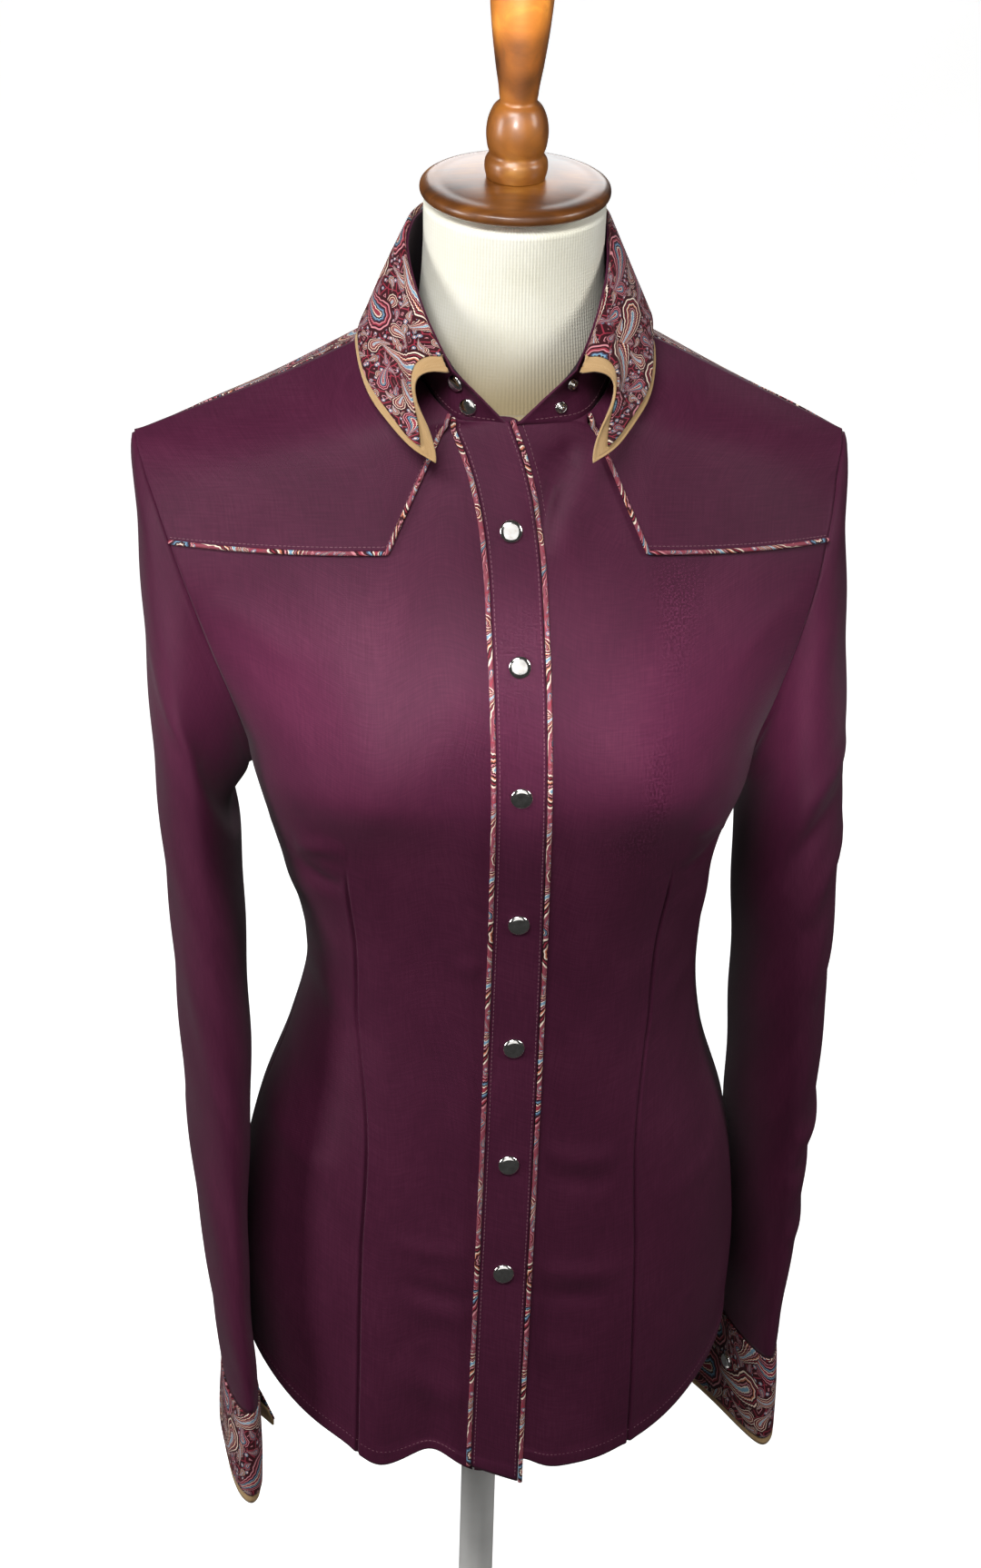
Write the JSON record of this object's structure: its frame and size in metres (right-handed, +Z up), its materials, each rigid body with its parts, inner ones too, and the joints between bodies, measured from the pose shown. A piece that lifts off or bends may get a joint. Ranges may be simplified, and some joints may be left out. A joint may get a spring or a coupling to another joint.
{
  "type": "western snap shirt on a limbless dress form",
  "caption": "Fitted long-sleeved shirt with pointed yokes, spread collar, snap placket and pointed cuffs, worn by a limbless dress form on a round base.",
  "frame": {"origin": "centre of the underside of the form's base", "axes": "+Z up, -Y towards the front of the shirt, +X towards the wearer's left"},
  "size_m": [0.4137, 0.28, 1.2555],
  "materials": {
    "plum_cloth": "fine woven cloth with a slight sheen",
    "paisley_cloth": "printed cotton",
    "tan_cloth": "matt woven cloth",
    "nickel": "polished nickel",
    "cream_jersey": "fine knit",
    "stained_wood": "satin stain",
    "white_steel": "satin white"
  },
  "bodies": {
    "root": {"front_right": "plum_cloth", "front_left": "plum_cloth", "front_yoke_right": "plum_cloth", "front_yoke_left": "plum_cloth", "back": "plum_cloth", "placket": "plum_cloth", "sleeve_right": "plum_cloth", "sleeve_left": "plum_cloth", "collar_stand": "plum_cloth", "back_yoke": "paisley_cloth", "placket_piping_right": "paisley_cloth", "placket_piping_left": "paisley_cloth", "yoke_piping_right": "paisley_cloth", "yoke_piping_left": "paisley_cloth", "cuff_right": "paisley_cloth", "cuff_left": "paisley_cloth", "collar_leaf": "paisley_cloth", "cuff_edge_right": "tan_cloth", "cuff_edge_left": "tan_cloth", "collar_flange": "tan_cloth", "form_torso": "cream_jersey", "neck_cap": "stained_wood", "finial": "stained_wood", "pole": "white_steel", "base": "white_steel", "cuff_snap_right": "nickel", "cuff_snap_left": "nickel", "stand_snap_upper": "nickel", "stand_snap_lower": "nickel", "stand_stud_upper": "nickel", "stand_stud_lower": "nickel", "placket_snap_1": "nickel", "placket_snap_2": "nickel", "placket_snap_3": "nickel", "placket_snap_4": "nickel", "placket_snap_5": "nickel", "placket_snap_6": "nickel", "placket_snap_7": "nickel"}
  },
  "joints": []
}
